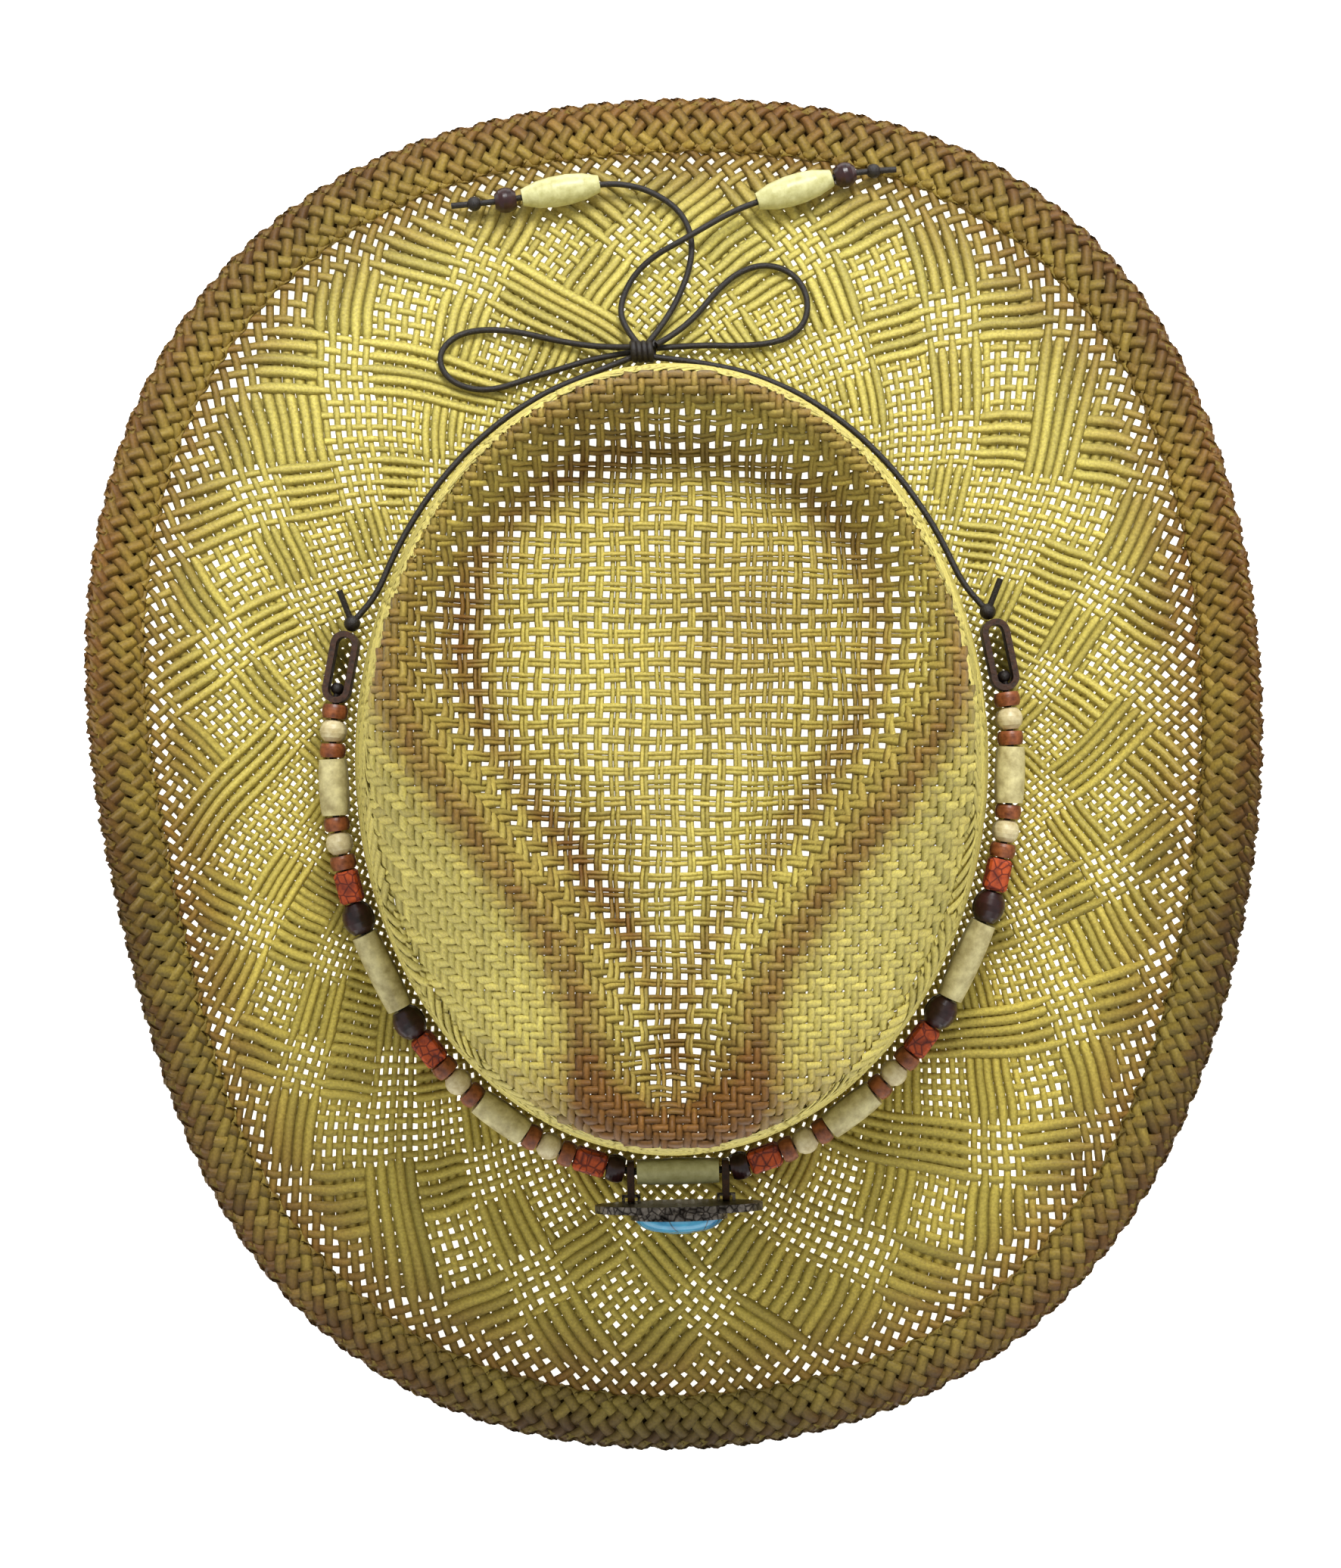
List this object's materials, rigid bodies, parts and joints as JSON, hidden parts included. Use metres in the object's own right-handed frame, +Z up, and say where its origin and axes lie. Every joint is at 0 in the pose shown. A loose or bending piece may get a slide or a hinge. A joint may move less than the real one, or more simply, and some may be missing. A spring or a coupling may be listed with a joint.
{
  "type": "western hat",
  "caption": "Woven straw western hat with a pinched teardrop crown, rolled brim, inner sweatband, beaded cord band tied in a bow, leather tabs and a front concho with a blue stone.",
  "frame": {"origin": "middle of the brim's box, at the level the hat stands on", "axes": "+Z up, -Y towards the front of the hat, +X towards the wearer's left"},
  "size_m": [0.2945, 0.351, 0.1344],
  "materials": {
    "straw": "woven palm straw, matt",
    "stained_straw": "braided palm straw, sprayed brown",
    "reed": "flat shaping reed",
    "sweatband_cloth": "elastic cloth sweatband",
    "thread": "cotton thread",
    "tab_leather": "dark brown, oiled",
    "waxed_cord": "black waxed cotton",
    "brown_bead": "stained wood, satin",
    "cream_bead": "pale wood, satin",
    "orange_bead": "mottled orange-red stone",
    "dark_bead": "dark wood, satin",
    "cream_barrel": "painted pale yellow wood",
    "natural_tube": "pale tubular wood",
    "turquoise": "polished turquoise cabochon",
    "antique_metal": "antiqued, dark in its recesses"
  },
  "bodies": {
    "hat": {"crown": "straw", "brim": "straw", "brim_edge_braid": "stained_straw", "brim_reed": "reed", "sweatband": "sweatband_cloth", "sweatband_stitches": "thread"},
    "hatband": {"band_cord_left": "waxed_cord", "band_cord_right": "waxed_cord", "bead_string_lower": "waxed_cord", "bead_string_upper": "waxed_cord", "bow_knot": "waxed_cord", "bow_loop_left": "waxed_cord", "bow_loop_right": "waxed_cord", "bow_tail_left": "waxed_cord", "bow_tail_right": "waxed_cord", "brown_disc_beads_left": "brown_bead", "brown_disc_beads_right": "brown_bead", "cream_round_beads_left": "cream_bead", "cream_round_beads_right": "cream_bead", "dark_round_beads_left": "dark_bead", "dark_round_beads_right": "dark_bead", "leather_tab_left": "tab_leather", "leather_tab_right": "tab_leather", "orange_square_beads_left": "orange_bead", "orange_square_beads_right": "orange_bead", "tab_knot_left": "waxed_cord", "tab_knot_right": "waxed_cord", "tail_bead_left": "cream_barrel", "tail_bead_right": "cream_barrel", "tail_knot_left": "waxed_cord", "tail_knot_right": "waxed_cord", "tail_round_bead_left": "dark_bead", "tail_round_bead_right": "dark_bead"},
    "concho": {"concho_bezel": "antique_metal", "concho_laces": "waxed_cord", "concho_plate": "antique_metal", "concho_staples": "antique_metal", "concho_stone": "turquoise"},
    "front_tube_lower_body": {"front_tube_lower": "natural_tube"},
    "short_tube_left_lower_1_body": {"short_tube_left_lower_1": "natural_tube"},
    "long_tube_left_lower_body": {"long_tube_left_lower": "natural_tube"},
    "short_tube_left_lower_2_body": {"short_tube_left_lower_2": "natural_tube"},
    "short_tube_right_lower_1_body": {"short_tube_right_lower_1": "natural_tube"},
    "long_tube_right_lower_body": {"long_tube_right_lower": "natural_tube"},
    "short_tube_right_lower_2_body": {"short_tube_right_lower_2": "natural_tube"},
    "front_tube_upper_body": {"front_tube_upper": "natural_tube"},
    "short_tube_left_upper_1_body": {"short_tube_left_upper_1": "natural_tube"},
    "long_tube_left_upper_body": {"long_tube_left_upper": "natural_tube"},
    "short_tube_left_upper_2_body": {"short_tube_left_upper_2": "natural_tube"},
    "short_tube_right_upper_1_body": {"short_tube_right_upper_1": "natural_tube"},
    "long_tube_right_upper_body": {"long_tube_right_upper": "natural_tube"},
    "short_tube_right_upper_2_body": {"short_tube_right_upper_2": "natural_tube"}
  },
  "joints": [
    {"name": "hatband_lift", "type": "slide", "parent": "hat", "child": "hatband", "axis": [0, 0, 1], "range_m": [0, 0.125]},
    {"name": "concho_rock", "type": "hinge", "parent": "hatband", "child": "concho", "pos_m": [0.0013, -0.10291, 0.03191], "axis": [-0.9997, -0.0231, 0], "range_deg": [0, 6]},
    {"name": "front_tube_lower_spin", "type": "hinge", "parent": "hatband", "child": "front_tube_lower_body", "pos_m": [0.00125, -0.10212, 0.02379], "axis": [0.9997, 0.0231, 0.0053], "continuous": true},
    {"name": "short_tube_left_lower_1_spin", "type": "hinge", "parent": "hatband", "child": "short_tube_left_lower_1_body", "pos_m": [-0.04397, -0.08803, 0.02676], "axis": [-0.8056, 0.5814, 0.1139], "continuous": true},
    {"name": "long_tube_left_lower_spin", "type": "hinge", "parent": "hatband", "child": "long_tube_left_lower_body", "pos_m": [-0.07436, -0.05047, 0.03247], "axis": [-0.4318, 0.8963, 0.1014], "continuous": true},
    {"name": "short_tube_left_lower_2_spin", "type": "hinge", "parent": "hatband", "child": "short_tube_left_lower_2_body", "pos_m": [-0.08647, -0.00347, 0.0355], "axis": [-0.0539, 0.9984, 0.0145], "continuous": true},
    {"name": "short_tube_right_lower_1_spin", "type": "hinge", "parent": "hatband", "child": "short_tube_right_lower_1_body", "pos_m": [0.04582, -0.08611, 0.02713], "axis": [0.7829, 0.6111, 0.1171], "continuous": true},
    {"name": "long_tube_right_lower_spin", "type": "hinge", "parent": "hatband", "child": "long_tube_right_lower_body", "pos_m": [0.07499, -0.04759, 0.03278], "axis": [0.4068, 0.9083, 0.0971], "continuous": true},
    {"name": "short_tube_right_lower_2_spin", "type": "hinge", "parent": "hatband", "child": "short_tube_right_lower_2_body", "pos_m": [0.08589, -0.00028, 0.03553], "axis": [0.0294, 0.9995, 0.008], "continuous": true},
    {"name": "front_tube_upper_spin", "type": "hinge", "parent": "hatband", "child": "front_tube_upper_body", "pos_m": [0.00125, -0.10212, 0.03209], "axis": [0.9997, 0.0231, 0.0053], "continuous": true},
    {"name": "short_tube_left_upper_1_spin", "type": "hinge", "parent": "hatband", "child": "short_tube_left_upper_1_body", "pos_m": [-0.04397, -0.08803, 0.03506], "axis": [-0.8056, 0.5814, 0.1139], "continuous": true},
    {"name": "long_tube_left_upper_spin", "type": "hinge", "parent": "hatband", "child": "long_tube_left_upper_body", "pos_m": [-0.07436, -0.05047, 0.04077], "axis": [-0.4318, 0.8963, 0.1014], "continuous": true},
    {"name": "short_tube_left_upper_2_spin", "type": "hinge", "parent": "hatband", "child": "short_tube_left_upper_2_body", "pos_m": [-0.08647, -0.00347, 0.0438], "axis": [-0.0539, 0.9984, 0.0145], "continuous": true},
    {"name": "short_tube_right_upper_1_spin", "type": "hinge", "parent": "hatband", "child": "short_tube_right_upper_1_body", "pos_m": [0.04582, -0.08611, 0.03543], "axis": [0.7829, 0.6111, 0.1171], "continuous": true},
    {"name": "long_tube_right_upper_spin", "type": "hinge", "parent": "hatband", "child": "long_tube_right_upper_body", "pos_m": [0.07499, -0.04759, 0.04108], "axis": [0.4068, 0.9083, 0.0971], "continuous": true},
    {"name": "short_tube_right_upper_2_spin", "type": "hinge", "parent": "hatband", "child": "short_tube_right_upper_2_body", "pos_m": [0.08589, -0.00028, 0.04383], "axis": [0.0294, 0.9995, 0.008], "continuous": true}
  ]
}
